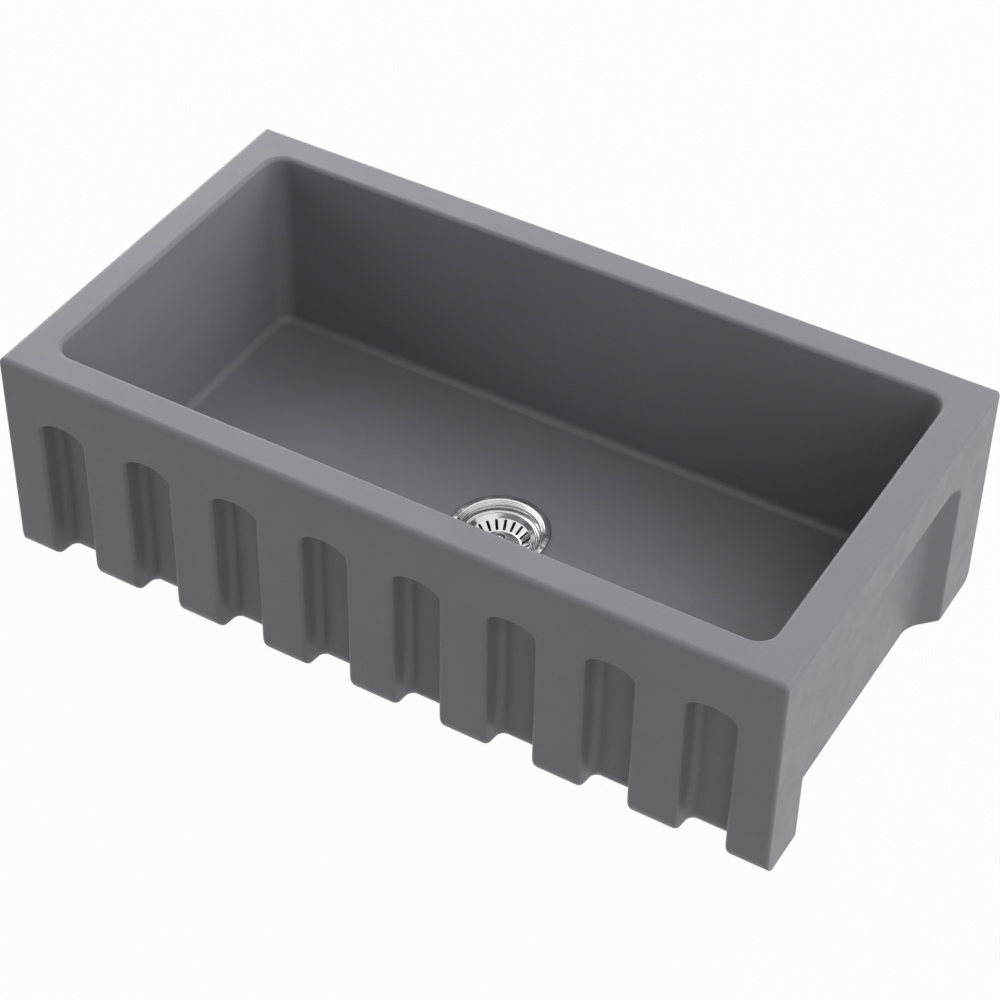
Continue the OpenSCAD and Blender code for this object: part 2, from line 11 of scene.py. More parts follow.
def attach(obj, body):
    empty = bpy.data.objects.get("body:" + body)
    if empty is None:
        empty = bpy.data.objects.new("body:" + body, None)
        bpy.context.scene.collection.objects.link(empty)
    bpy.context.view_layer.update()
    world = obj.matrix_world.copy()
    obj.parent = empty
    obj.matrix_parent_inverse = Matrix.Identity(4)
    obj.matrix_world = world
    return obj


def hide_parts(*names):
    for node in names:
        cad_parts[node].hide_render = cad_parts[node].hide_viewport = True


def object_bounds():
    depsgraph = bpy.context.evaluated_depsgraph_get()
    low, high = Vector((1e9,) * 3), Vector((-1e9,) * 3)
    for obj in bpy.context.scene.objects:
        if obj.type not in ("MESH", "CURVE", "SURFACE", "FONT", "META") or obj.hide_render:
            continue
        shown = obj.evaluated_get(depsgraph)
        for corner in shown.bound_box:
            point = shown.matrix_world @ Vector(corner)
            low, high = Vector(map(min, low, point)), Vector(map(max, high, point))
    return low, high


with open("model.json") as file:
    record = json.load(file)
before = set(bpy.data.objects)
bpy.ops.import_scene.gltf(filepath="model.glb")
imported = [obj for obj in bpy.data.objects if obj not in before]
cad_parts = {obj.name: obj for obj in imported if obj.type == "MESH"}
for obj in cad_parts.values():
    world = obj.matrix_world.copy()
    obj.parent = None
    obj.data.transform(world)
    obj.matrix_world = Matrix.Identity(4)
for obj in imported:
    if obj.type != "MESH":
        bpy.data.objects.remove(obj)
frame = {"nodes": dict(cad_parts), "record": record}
cad_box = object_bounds()
nodes = frame["nodes"]

# Sizes in millimetres, as in the part's source
SINK_W, SINK_D, SINK_H = 838.2, 457.2, 247.0
RIM_W, FLOOR_T = 38.1, 32.7
BOWL_LEAN, BOWL_CORNER_R, BOWL_COVE_R = 2.0, 20.0, 9.0
RIM_INNER_R, RIM_OUTER_R, CORNER_R, LEAST_CORNER_R = 5.0, 6.3, 4.5, 0.8
APRON_ROLL_R, SIDE_ROLL_R, WALL_ROLL_R = 22.5, 4.0, 9.0
FLUTE_COUNT, FLUTE_W, FLUTE_DEPTH, END_PIER_W = 8, 50.0, 22.4, 43.4
FLUTE_DROP, FLUTE_RISE, FLUTE_LEAN = 61.3, 12.0, 2.5
FLUTE_LIP_R, FLUTE_COVE_R, FLUTE_ROLL_R = 4.3, 8.0, 21.5
RECESS_DEPTH, RECESS_FRONT_W, RECESS_BACK_W = 24.3, 61.0, 73.0
RECESS_DROP, RECESS_RISE, RECESS_SHOULDER_W = 58.0, 21.0, 45.0
RECESS_SLOPE = math.radians(44)
RECESS_LIP_R, RECESS_COVE_R, RECESS_SWEEP_R = 5.0, 8.0, 34.0
RECESS_MIDDLE_SHARES = (1 / 3, 0.45)
DRAIN_R, DRAIN_Y, HOLE_CHAMFER = 44.45, 12.0, 0.6
FLANGE_R, FLANGE_GAP, FLANGE_RISE, FLANGE_EDGE_R = 52.4, 0.1, 3.0, 1.8
MOUTH_R, MOUTH_CURVE_R, THROAT_R, THROAT_DROP, THROAT_CURVE_R = 45.5, 1.6, 40.6, 0.8, 2.0
WELL_R, WELL_DEPTH, LEDGE_DROP, LEDGE_COVE_R, LEDGE_EDGE_R = 35.2, 39.0, 8.5, 1.4, 1.5
WELL_COVE_R, CUP_T, SPUD_NECK_R = 6.0, 1.2, 20.25
BASKET_R, BEAD_R, BASKET_T, BASKET_DEPTH = 37.8, 1.1, 0.9, 12.6
CONE_FOOT_R, CONE_DROP, CONE_CURVE_R = 32.0, 5.2, 4.0
BASKET_GAP, BUSH_R = 0.3, 4.7
SLOT_COUNT, SLOT_INNER_R, SLOT_DROP = 20, 23.5, 5.7
KNOB_R, KNOB_NECK_R, KNOB_CAP, POST_BORE_R, KNOB_LIFT = 6.5, 4.6, 1.6, 3.05, 1.1
THREAD_R, OUTLET_BORE_R, OUTLET_L = 23.9, 19.6, 42.8
SPUD_LIP_T, SPUD_LIP_ROUND, SPUD_WALL = 1.2, 0.5, 0.6
HALF_W, HALF_D = SINK_W / 2, SINK_D / 2
MM = 0.001

# Sizes that the source has otherwise or not at all: they follow the photograph, but for the thread
CONE_BEADS, CONE_BEAD_H = 3, 0.22
BASKET_FLOOR_R, BASKET_FOOT_R = 22.0, 4.0
SLOT_W, SLOT_END_W = 3.0, 0.02
KNOB_H, KNOB_NECK_H, KNOB_RIM_H, KNOB_CROWN = 12.0, 6.0, 1.6, 2.2
KNOB_FOOT_ROUND, KNOB_WAIST_ROUND, KNOB_EDGE_ROUND = 0.3, 0.8, 0.5
THREAD_DEPTH, THREAD_PITCH, THREAD_STEEPNESS, THREAD_ROOT_SHARE = 0.9, 2.2, 2.5, 0.5

# Steps of a quarter turn in each kind of rounding
ROLL_STEPS, EDGE_STEPS, COVE_STEPS, CORNER_STEPS, BOWL_CORNER_STEPS, ARCH_STEPS = 9, 8, 10, 6, 14, 20
SLOT_END_STEPS, KNOB_DOME_STEPS = 6, 12
# Steps of the recess's lip and sweep, and of the beads on the cone
LIP_STEPS, SWEEP_STEPS, CONE_STEPS = 16, 32, 60
# Steps of a whole turn, and of one pitch of the thread
TURN_STEPS, SMALL_TURN_STEPS, WIRE_STEPS, PITCH_STEPS = 192, 96, 24, 10
# Steps across a slot and a petal, and the longest step along the basket in millimetres
SLOT_STEPS, PETAL_STEPS, BASKET_STEP = 2, 8, 0.7
SHARP_ANGLE = math.radians(50)
# Metres within which points meet or lie in a plane, and millimetres within which sizes agree
WELD_REACH, PLANE_REACH = 1e-6, 2e-6
SIZE_REACH, LEAST_RING_GAP = 1e-6, 1e-3


# Shapes

def quarter(steps):
    """Angles from 0 to a quarter turn"""
    return [math.pi / 2 * k / steps for k in range(steps + 1)]


def flare(z, r):
    """How far a face has drawn back at height z over a bottom roll of radius r"""
    return 0.0 if z >= r else r - math.sqrt(r * r - (r - z) ** 2)


class Shell:
    """Faces in millimetres, welded into one closed mesh"""

    def __init__(self):
        self.bm = bmesh.new()

    def face(self, points):
        """One face through the points"""
        self.bm.faces.new([self.bm.verts.new([c * MM for c in p]) for p in points])

    def grid(self, rows, closed=False):
        """Faces between rows of points, round to the first point again where it is closed"""
        verts = [[self.bm.verts.new([c * MM for c in p]) for p in row] for row in rows]
        for low, high in zip(verts, verts[1:]):
            count = len(low)
            for j in range(count if closed else count - 1):
                k = (j + 1) % count
                self.bm.faces.new((low[j], low[k], high[k], high[j]))

    def weld(self):
        """Joins the points that meet"""
        bmesh.ops.remove_doubles(self.bm, verts=self.bm.verts, dist=WELD_REACH)

    def fill(self, axis, at):
        """Closes the flat area that lies in one plane"""
        edges = [e for e in self.bm.edges if len(e.link_faces) == 1
                 and all(abs(v.co[axis] - at * MM) < PLANE_REACH for v in e.verts)]
        bmesh.ops.triangle_fill(self.bm, use_beauty=True, use_dissolve=False, edges=edges)

    def object(self, name):
        """The mesh as an object in the scene"""
        bmesh.ops.recalc_face_normals(self.bm, faces=self.bm.faces)
        mesh = bpy.data.meshes.new(name)
        self.bm.to_mesh(mesh)
        self.bm.free()
        mesh.shade_smooth()
        made = bpy.data.objects.new(name, mesh)
        bpy.context.scene.collection.objects.link(made)
        return made


# Heights of the rings over the bottom roll, close together near the base
LEVELS = [APRON_ROLL_R * (1 - math.cos(a)) for a in quarter(ROLL_STEPS)]


def corner_rings(half_x, half_y, r, z, steps=CORNER_STEPS):
    """The four rounded corners of a plan rectangle, anticlockwise from the front left one"""
    corners = []
    for i, (sx, sy) in enumerate([(-1, -1), (1, -1), (1, 1), (-1, 1)]):
        start = math.pi + i * math.pi / 2
        cx, cy = sx * (half_x - r), sy * (half_y - r)
        turns = [start + a for a in quarter(steps)]
        corners.append([(cx + r * math.cos(t), cy + r * math.sin(t), z) for t in turns])
    return corners


def block_corners(z):
    """Corners of the sink's outside at a height, with its bottom roll and its rounded rim"""
    in_x, in_y = flare(z, SIDE_ROLL_R), flare(z, APRON_ROLL_R)
    top = max(0.0, z - SINK_H + RIM_OUTER_R)
    edge = RIM_OUTER_R - math.sqrt(max(0.0, RIM_OUTER_R ** 2 - top ** 2))
    in_x, in_y = in_x + edge, in_y + edge
    r = max(LEAST_CORNER_R, CORNER_R - max(in_x, in_y))
    return corner_rings(HALF_W - in_x, HALF_D - in_y, r, z)


def lip_and_cove(full, lean, lip_r, cove_r):
    """Rings of a lipped and coved cut: depth, inset, and how far its wall faces across"""
    rings = []
    for a in quarter(COVE_STEPS):
        d = lip_r * (1 - math.cos(a))
        rings.append((d, lip_r * (math.sin(a) - 1) + lean * d / full, math.sin(a)))
    for a in quarter(COVE_STEPS):
        d = full - cove_r + cove_r * math.sin(a)
        rings.append((d, cove_r * (1 - math.cos(a)) + lean * d / full, math.cos(a)))
    return rings


def arch(low, high, spring, rise, shoulder):
    """Points of a flat arch with a quarter ellipse at each end"""
    end = [(shoulder * (1 - math.cos(a)), spring + rise * math.sin(a)) for a in quarter(ARCH_STEPS)]
    left = [(low + u, v) for u, v in end]
    right = [(high - u, v) for u, v in reversed(end)]
    return left + (right if high - low > 2 * shoulder + SIZE_REACH else right[1:])


def flute_rings(centre):
    """Rings of one flute, from the apron's face in to the flute's floor"""
    spring = SINK_H - FLUTE_DROP - FLUTE_RISE
    rings = []
    for d, inset, across in lip_and_cove(FLUTE_DEPTH, FLUTE_LEAN, FLUTE_LIP_R, FLUTE_COVE_R):
        w = FLUTE_W / 2 - inset
        share = d / FLUTE_DEPTH
        foot = []
        for z in LEVELS:
            back = (1 - share) * flare(z, APRON_ROLL_R) + share * flare(z, FLUTE_ROLL_R)
            foot.append((w + across * flare(z, WALL_ROLL_R), -HALF_D + d + back, z))
        top = [(centre + u, -HALF_D + d, v) for u, v in arch(-w, w, spring, FLUTE_RISE - inset, w)]
        left = [(centre - x, y, z) for x, y, z in foot]
        right = [(centre + x, y, z) for x, y, z in reversed(foot)]
        rings.append(left + top + right)
    return rings


def arc_path(corner, before, after, r, steps):
    """Arc that turns from one direction to the next: points with their angle from the face's plane"""
    bx, by = before
    turn = math.acos(max(-1, min(1, bx * after[0] + by * after[1])))
    reach = r * math.tan(turn / 2)
    side = 1 if bx * after[1] - by * after[0] > 0 else -1
    sx, sy = corner[0] - bx * reach, corner[1] - by * reach
    cx, cy = sx - by * side * r, sy + bx * side * r
    points = []
    for k in range(steps + 1):
        t = side * turn * k / steps
        c, s = math.cos(t), math.sin(t)
        dx, dy = sx - cx, sy - cy
        angle = math.atan2(bx * c - by * s, bx * s + by * c)
        points.append((cx + dx * c - dy * s, cy + dx * s + dy * c, angle))
    return points


def recess_path():
    """One end of a side recess, from the side face along its slope to the back wall"""
    run = RECESS_DEPTH / math.tan(RECESS_SLOPE)
    slope = (math.sin(RECESS_SLOPE), math.cos(RECESS_SLOPE))
    return (arc_path((0, 0), (0, 1), slope, RECESS_LIP_R, LIP_STEPS)
            + arc_path((RECESS_DEPTH, run), slope, (0, 1), RECESS_SWEEP_R, SWEEP_STEPS))


def along(path, d):
    """Inset and angle of the path at a depth"""
    for a, b in zip(path, path[1:]):
        if a[0] <= d <= b[0] and b[0] > a[0]:
            t = (d - a[0]) / (b[0] - a[0])
            return a[1] + t * (b[1] - a[1]), a[2] + t * (b[2] - a[2])
    return path[-1][1:] if d >= path[-1][0] else path[0][1:]


def recess_rings(side):
    """Rings of the recess in the left or right side wall, from its face inwards"""
    path = recess_path()
    low, high = -HALF_D + RECESS_FRONT_W, HALF_D - RECESS_BACK_W
    spring = SINK_H - RECESS_DROP - RECESS_RISE
    crown = lip_and_cove(RECESS_DEPTH, 0, RECESS_LIP_R, RECESS_COVE_R)
    middle = [RECESS_DEPTH * share for share in RECESS_MIDDLE_SHARES]
    wanted = sorted([ring[0] for ring in crown] + [p[0] for p in path[::2]] + middle)
    depths = [d for i, d in enumerate(wanted) if i == 0 or d - wanted[i - 1] > LEAST_RING_GAP]
    rings = []
    for d in depths:
        inset, angle = along(path, d)
        lip = RECESS_LIP_R - math.sqrt(RECESS_LIP_R ** 2 - max(0, RECESS_LIP_R - d) ** 2)
        sink = max(0.0, d - RECESS_DEPTH + RECESS_COVE_R)
        rise = RECESS_RISE + lip - RECESS_COVE_R + math.sqrt(max(0, RECESS_COVE_R ** 2 - sink ** 2))
        feet = []
        for z in LEVELS:
            f = flare(z, SIDE_ROLL_R)
            feet.append((HALF_W - d - f * math.cos(angle), inset - f * math.sin(angle), z))
        near = [(x, low + inwards, z) for x, inwards, z in feet]
        crown_line = arch(low + inset, high - inset, spring, rise, RECESS_SHOULDER_W)
        top = [(HALF_W - d, u, v) for u, v in crown_line]
        far = [(x, high - inwards, z) for x, inwards, z in reversed(feet)]
        rings.append([(side * x, y, z) for x, y, z in near + top + far])
    return rings


def add_cut(shell, rings):
    """The walls of a cut that is open below, and its floor"""
    shell.grid(rings)
    last, n = rings[-1], len(LEVELS)
    shell.grid([[last[k], last[-1 - k]] for k in range(n)])
    shell.face(last[n - 1:len(last) - n + 1])


def add_outside(shell):
    """The outer walls with their flutes, recesses, bottom roll and rounded rim"""
    top_levels = [SINK_H - RIM_OUTER_R + RIM_OUTER_R * math.sin(a) for a in quarter(EDGE_STEPS)]
    low = [block_corners(z) for z in LEVELS]
    high = [block_corners(z) for z in top_levels]
    for c in range(4):
        shell.grid([ring[c] for ring in low] + [high[0][c]])
    shell.grid([sum(ring, []) for ring in high], closed=True)
    pitch = (SINK_W - 2 * END_PIER_W - FLUTE_W) / (FLUTE_COUNT - 1)
    flutes = [flute_rings((i - (FLUTE_COUNT - 1) / 2) * pitch) for i in range(FLUTE_COUNT)]
    recesses = [recess_rings(side) for side in (-1, 1)]
    for rings in flutes + recesses:
        add_cut(shell, rings)
    # The foot of each flat stretch, between the upright chains at its two ends
    n = len(LEVELS)
    feet = [(rings[0][:n], rings[0][:-n - 1:-1]) for rings in flutes + recesses]
    corner = [([ring[c][0] for ring in low], [ring[c][-1] for ring in low]) for c in range(4)]
    chains = [corner[0][1]]
    for foot in feet[:FLUTE_COUNT]:
        chains += foot
    (left_near, left_far), (right_near, right_far) = feet[FLUTE_COUNT:]
    chains += [corner[1][0], corner[1][1], right_near, right_far, corner[2][0], corner[2][1], corner[3][0]]
    chains += [corner[3][1], left_far, left_near, corner[0][0]]
    for a, b in zip(chains[::2], chains[1::2]):
        shell.grid([list(pair) for pair in zip(a, b)])


def add_bowl(shell):
    """The bowl's wall, from the rim's inner edge to the cove at its floor"""
    half_x, half_y = HALF_W - RIM_W, HALF_D - RIM_W
    edge, cove = RIM_INNER_R, BOWL_COVE_R
    rings = [(edge * (math.cos(a) - 1), SINK_H - edge + edge * math.sin(a))
             for a in reversed(quarter(EDGE_STEPS))]
    rings += [(BOWL_LEAN + cove * (1 - math.sin(a)), FLOOR_T + cove * (1 - math.cos(a)))
              for a in reversed(quarter(COVE_STEPS))]
    plans = [corner_rings(half_x - i, half_y - i, BOWL_CORNER_R - i, z, BOWL_CORNER_STEPS) for i, z in rings]
    shell.grid([sum(plan, []) for plan in plans], closed=True)


def circle(r, z, steps):
    """Points round the drain's axis"""
    turn = [2 * math.pi * k / steps for k in range(steps)]
    return [(r * math.cos(t), DRAIN_Y + r * math.sin(t), z) for t in turn]


def make_basin():
    """The fireclay sink in one piece, with its drain hole"""
    shell = Shell()
    add_outside(shell)
    add_bowl(shell)
    rim = DRAIN_R + HOLE_CHAMFER
    hole = [(rim, FLOOR_T), (DRAIN_R, FLOOR_T - HOLE_CHAMFER), (DRAIN_R, HOLE_CHAMFER), (rim, 0.0)]
    shell.grid([circle(r, z, SMALL_TURN_STEPS) for r, z in hole], closed=True)
    shell.weld()
    x, y, z = range(3)
    flats = [(x, -HALF_W), (x, HALF_W), (y, -HALF_D), (y, HALF_D), (z, SINK_H), (z, 0.0), (z, FLOOR_T)]
    for axis, at in flats:
        shell.fill(axis, at)
    piece = shell.object("fireclay_basin")
    weighted = piece.modifiers.new("weighted", "WEIGHTED_NORMAL")
    weighted.weight = 100
    weighted.keep_sharp = True
    return piece


def unit(x, y):
    """The direction of a step"""
    size = math.hypot(x, y)
    return x / size, y / size


def rounded_path(corners, steps=COVE_STEPS):
    """Path through corners (r, z, radius), each inner corner rounded to its radius"""
    path = [corners[0][:2]]
    for a, q, b in zip(corners, corners[1:], corners[2:]):
        before, after = unit(q[0] - a[0], q[1] - a[1]), unit(b[0] - q[0], b[1] - q[1])
        arc = arc_path(q[:2], before, after, q[2], steps) if q[2] else [q]
        path += [p[:2] for p in arc]
    return path + [corners[-1][:2]]


def divided(path, most):
    """The path with points added so that none are further apart than the most"""
    made = [path[0]]
    for (ax, ay), (bx, by) in zip(path, path[1:]):
        parts = max(1, math.ceil(math.hypot(bx - ax, by - ay) / most))
        made += [(ax + (bx - ax) * k / parts, ay + (by - ay) * k / parts) for k in range(1, parts + 1)]
    return made


def moved_path(path, by):
    """The path moved sideways, to its left"""
    made = []
    for i, (x, y) in enumerate(path):
        a, b = path[max(0, i - 1)], path[min(len(path) - 1, i + 1)]
        dx, dy = unit(b[0] - a[0], b[1] - a[1])
        made.append((x - dy * by, y + dx * by))
    return made


def with_point(path, axis, at):
    """The path with a point added where it comes down to a value along one axis"""
    i = next(k for k in range(len(path) - 1) if path[k][axis] >= at > path[k + 1][axis])
    a, b = path[i], path[i + 1]
    share = (a[axis] - at) / (a[axis] - b[axis])
    point = [p + (q - p) * share for p, q in zip(a, b)]
    point[axis] = at
    return path[:i + 1] + [tuple(point)] + path[i + 1:]


def turned(name, outline, steps=TURN_STEPS):
    """A closed outline (r, z) turned about the drain's axis"""
    shell = Shell()
    shell.grid([circle(r, z, steps) for r, z in outline + outline[:1]], closed=True)
    shell.weld()
    made = shell.object(name)
    made.data.set_sharp_from_angle(angle=SHARP_ANGLE)
    return made


def make_cup():
    """Drawn cup with its rolled flange and the fine beads round its coned mouth"""
    top, ledge, well = FLOOR_T + FLANGE_RISE, FLOOR_T - LEDGE_DROP, FLOOR_T - WELL_DEPTH
    face = rounded_path([
        (FLANGE_R, FLOOR_T + FLANGE_GAP, 0), (FLANGE_R, top, FLANGE_EDGE_R), (MOUTH_R, top, MOUTH_CURVE_R),
        (THROAT_R, FLOOR_T - THROAT_DROP, THROAT_CURVE_R), (THROAT_R, ledge, LEDGE_COVE_R),
        (WELL_R, ledge, LEDGE_EDGE_R), (WELL_R, well, WELL_COVE_R), (SPUD_NECK_R, well, 0),
    ])
    # The cone is the longest stretch that leans: its beads stand in from it
    i = max(range(len(face) - 1), key=lambda k: (face[k][0] - face[k + 1][0]) * (face[k][1] - face[k + 1][1]))
    (ax, ay), (bx, by) = face[i], face[i + 1]
    dx, dy = unit(bx - ax, by - ay)
    beads = []
    for k in range(1, CONE_STEPS):
        t = k / CONE_STEPS
        out = CONE_BEAD_H * (1 - math.cos(2 * math.pi * CONE_BEADS * t)) / 2
        beads.append((ax + (bx - ax) * t + dy * out, ay + (by - ay) * t - dx * out))
    back = moved_path(face, CUP_T)
    return turned("strainer_cup_drawn", face[:i + 1] + beads + face[i + 1:] + back[::-1])


def make_basket():
    """Pressed basket with open slots and a wired rim"""
    rim = FLOOR_T - LEDGE_DROP + BASKET_GAP + 2 * BEAD_R
    bottom, slot_top, slot_end = rim - BASKET_DEPTH, rim - SLOT_DROP, SLOT_INNER_R - SLOT_W / 2
    bead_ring = BASKET_R - BEAD_R
    face = divided(rounded_path([
        (bead_ring - BEAD_R, rim - BEAD_R, 0), (CONE_FOOT_R, rim - CONE_DROP, CONE_CURVE_R),
        (BASKET_FLOOR_R, bottom, BASKET_FOOT_R), (BUSH_R, bottom, 0),
    ]), BASKET_STEP)
    # Rings at the slots' ends, and close ones where their inner ends are round
    face = with_point(face, 1, slot_top)
    for a in quarter(SLOT_END_STEPS):
        face = with_point(face, 0, SLOT_INNER_R - SLOT_W / 2 * math.cos(a))
    back = moved_path(face, BASKET_T)
    columns = SLOT_STEPS + PETAL_STEPS
    count = columns * SLOT_COUNT
    sector = 2 * math.pi / SLOT_COUNT

    def ring_of(r, z, width):
        """Points of one ring, with the two sides of each slot half a width from its middle"""
        half = math.asin(width / r)
        turns = [-half + 2 * half * k / SLOT_STEPS for k in range(SLOT_STEPS)]
        turns += [half + (sector - 2 * half) * k / PETAL_STEPS for k in range(PETAL_STEPS)]
        every = [sector * s + t for s in range(SLOT_COUNT) for t in turns]
        return [(r * math.cos(t), DRAIN_Y + r * math.sin(t), z) for t in every]

    def half_width(r):
        """Half of a slot's width on the ring of radius r"""
        return math.sqrt(max((SLOT_END_W / 2) ** 2, (SLOT_W / 2) ** 2 - max(0.0, SLOT_INNER_R - r) ** 2))

    shell = Shell()
    fronts, backs = [], []
    for (r, z), (s, y) in zip(face, back):
        fronts.append([shell.bm.verts.new([c * MM for c in p]) for p in ring_of(r, z, half_width(r))])
        backs.append([shell.bm.verts.new([c * MM for c in p]) for p in ring_of(s, y, half_width(r))])

    def is_open(i, j):
        """Whether no face stands between two rings at a column"""
        if i < 0 or i >= len(face) - 1:
            return True
        along_slot = face[i][1] <= slot_top + SIZE_REACH and face[i + 1][0] >= slot_end - SIZE_REACH
        return along_slot and j % columns < SLOT_STEPS

    for i in range(len(face) - 1):
        for j in range(count):
            if is_open(i, j):
                continue
            k = (j + 1) % count
            shell.bm.faces.new((fronts[i][j], fronts[i][k], fronts[i + 1][k], fronts[i + 1][j]))
            shell.bm.faces.new((backs[i][j], backs[i + 1][j], backs[i + 1][k], backs[i][k]))
            sides = {
                (i - 1, j): ((i, j), (i, k)), (i + 1, j): ((i + 1, k), (i + 1, j)),
                (i, (j - 1) % count): ((i + 1, j), (i, j)), (i, k): ((i, k), (i + 1, k)),
            }
            for beside, ((ai, aj), (bi, bj)) in sides.items():
                if is_open(*beside):
                    shell.bm.faces.new((fronts[ai][aj], backs[ai][aj], backs[bi][bj], fronts[bi][bj]))
    wire = [2 * math.pi * k / WIRE_STEPS for k in range(WIRE_STEPS)]
    bead = [(bead_ring + BEAD_R * math.cos(t), rim - BEAD_R + BEAD_R * math.sin(t)) for t in wire]
    shell.grid([circle(r, z, TURN_STEPS) for r, z in bead + bead[:1]], closed=True)
    shell.weld()
    made = shell.object("basket_pressed")
    made.data.set_sharp_from_angle(angle=SHARP_ANGLE)
    return made


def make_knob():
    """Turned knob, waisted under its rim, with a domed top"""
    floor = FLOOR_T - LEDGE_DROP + BASKET_GAP + 2 * BEAD_R - BASKET_DEPTH
    low = floor + KNOB_LIFT
    cap, edge = low + KNOB_H - KNOB_CAP, low + KNOB_H - KNOB_CROWN
    outline = rounded_path([
        (POST_BORE_R, low, 0), (KNOB_NECK_R, low, KNOB_FOOT_ROUND),
        (KNOB_NECK_R, low + KNOB_NECK_H, KNOB_WAIST_ROUND),
        (KNOB_R, edge - KNOB_RIM_H, KNOB_EDGE_ROUND), (KNOB_R, edge, 0),
    ], EDGE_STEPS)
    dome = quarter(KNOB_DOME_STEPS)[1:-1]
    outline += [(KNOB_R * math.cos(a), edge + KNOB_CROWN * math.sin(a)) for a in dome]
    outline += [(0, low + KNOB_H), (0, cap), (POST_BORE_R, cap)]
    return turned("pull_knob", outline, SMALL_TURN_STEPS)


def make_outlet():
    """Outlet tube with a real thread outside"""
    well, shoulder = FLOOR_T - WELL_DEPTH, FLOOR_T - WELL_DEPTH - CUP_T
    end, top = shoulder - OUTLET_L, well + SPUD_LIP_T
    neck = OUTLET_BORE_R + SPUD_WALL
    steps = SMALL_TURN_STEPS
    shell = Shell()
    inside = [
        (THREAD_R, shoulder), (neck, shoulder), (neck, well), (THREAD_R, well),
        (THREAD_R, top - SPUD_LIP_ROUND), (THREAD_R - SPUD_LIP_ROUND, top),
        (OUTLET_BORE_R + SPUD_LIP_ROUND, top),
        (OUTLET_BORE_R, top - SPUD_LIP_ROUND), (OUTLET_BORE_R, end), (THREAD_R, end),
    ]
    rows = [circle(r, z, steps) for r, z in inside]
    count = round((shoulder - end) / THREAD_PITCH * PITCH_STEPS)
    for i in range(1, count):
        z = end + (shoulder - end) * i / count
        fade = min(1.0, (z - end) / THREAD_PITCH, (shoulder - z) / THREAD_PITCH)
        row = []
        for k in range(steps):
            turn = 2 * math.pi * k / steps
            phase = (z / THREAD_PITCH + k / steps) % 1
            groove = min(1.0, max(0.0, THREAD_STEEPNESS * (THREAD_ROOT_SHARE - abs(2 * phase - 1))))
            r = THREAD_R - THREAD_DEPTH * fade * groove
            row.append((r * math.cos(turn), DRAIN_Y + r * math.sin(turn), z))
        rows.append(row)
    shell.grid(rows + [rows[0]], closed=True)
    shell.weld()
    made = shell.object("outlet_threaded")
    made.data.set_sharp_from_angle(angle=SHARP_ANGLE)
    return made


# Materials

def new_material(name, color, roughness, metallic=0.0):
    """A material and its shader, with the middle values of its finish"""
    made = bpy.data.materials.new(name)
    made.use_nodes = True
    shader = made.node_tree.nodes["Principled BSDF"]
    shader.inputs["Base Color"].default_value = (*color, 1)
    shader.inputs["Roughness"].default_value = roughness
    shader.inputs["Metallic"].default_value = metallic
    return made, shader


class Nodes:
    """Short ways to add and link shader nodes"""

    def __init__(self, material):
        self.tree = material.node_tree
        self.coords = self.tree.nodes.new("ShaderNodeTexCoord").outputs["Object"]

    def noise(self, scale, detail=3.0, rough=0.55, stretch=None):
        """Noise over the piece's own coordinates"""
        vector = self.coords
        if stretch:
            mapping = self.tree.nodes.new("ShaderNodeMapping")
            mapping.inputs["Scale"].default_value = stretch
            self.tree.links.new(vector, mapping.inputs["Vector"])
            vector = mapping.outputs["Vector"]
        made = self.tree.nodes.new("ShaderNodeTexNoise")
        made.inputs["Scale"].default_value = scale
        made.inputs["Detail"].default_value = detail
        made.inputs["Roughness"].default_value = rough
        self.tree.links.new(vector, made.inputs["Vector"])
        return made.outputs["Fac"]

    def spread(self, value, low, high, at_low=0.35, at_high=0.65):
        """The value spread over low to high"""
        made = self.tree.nodes.new("ShaderNodeMapRange")
        for name, number in zip(("From Min", "From Max", "To Min", "To Max"), (at_low, at_high, low, high)):
            made.inputs[name].default_value = number
        self.tree.links.new(value, made.inputs["Value"])
        return made.outputs["Result"]

    def shade(self, color, *factors):
        """The colour times each of the factors"""
        value = factors[0]
        for factor in factors[1:]:
            value = self.math("MULTIPLY", value, factor)
        made = self.tree.nodes.new("ShaderNodeVectorMath")
        made.operation = "SCALE"
        made.inputs[0].default_value = color
        self.tree.links.new(value, made.inputs["Scale"])
        return made.outputs["Vector"]

    def math(self, operation, a, b):
        """One sum of two values, each a number or a socket"""
        made = self.tree.nodes.new("ShaderNodeMath")
        made.operation = operation
        for socket, value in zip(made.inputs, (a, b)):
            if isinstance(value, (int, float)):
                socket.default_value = value
            else:
                self.tree.links.new(value, socket)
        return made.outputs["Value"]

    def mix(self, factor, a, b):
        """From a to b, which are both numbers or both colours"""
        made = self.tree.nodes.new("ShaderNodeMix")
        numbers = isinstance(a, (int, float))
        made.data_type = "FLOAT" if numbers else "RGBA"
        first, second, out = (2, 3, 0) if numbers else (6, 7, 2)
        self.tree.links.new(factor, made.inputs[0])
        for socket, value in ((made.inputs[first], a), (made.inputs[second], b)):
            if isinstance(value, (int, float)):
                socket.default_value = value
            else:
                self.tree.links.new(value, socket)
        return made.outputs[out]

    def axis(self, name):
        """One of the piece's own coordinates"""
        made = self.tree.nodes.new("ShaderNodeSeparateXYZ")
        self.tree.links.new(self.coords, made.inputs[0])
        return made.outputs[name]

    def bump(self, height, distance, over=None):
        """A relief of the given depth, on top of another one where there is one"""
        made = self.tree.nodes.new("ShaderNodeBump")
        if over:
            self.tree.links.new(over, made.inputs["Normal"])
        made.inputs["Distance"].default_value = distance
        made.inputs["Strength"].default_value = 1.0
        self.tree.links.new(height, made.inputs["Height"])
        return made.outputs["Normal"]

    def link(self, value, socket):
        """Leads a value into a socket"""
        self.tree.links.new(value, socket)


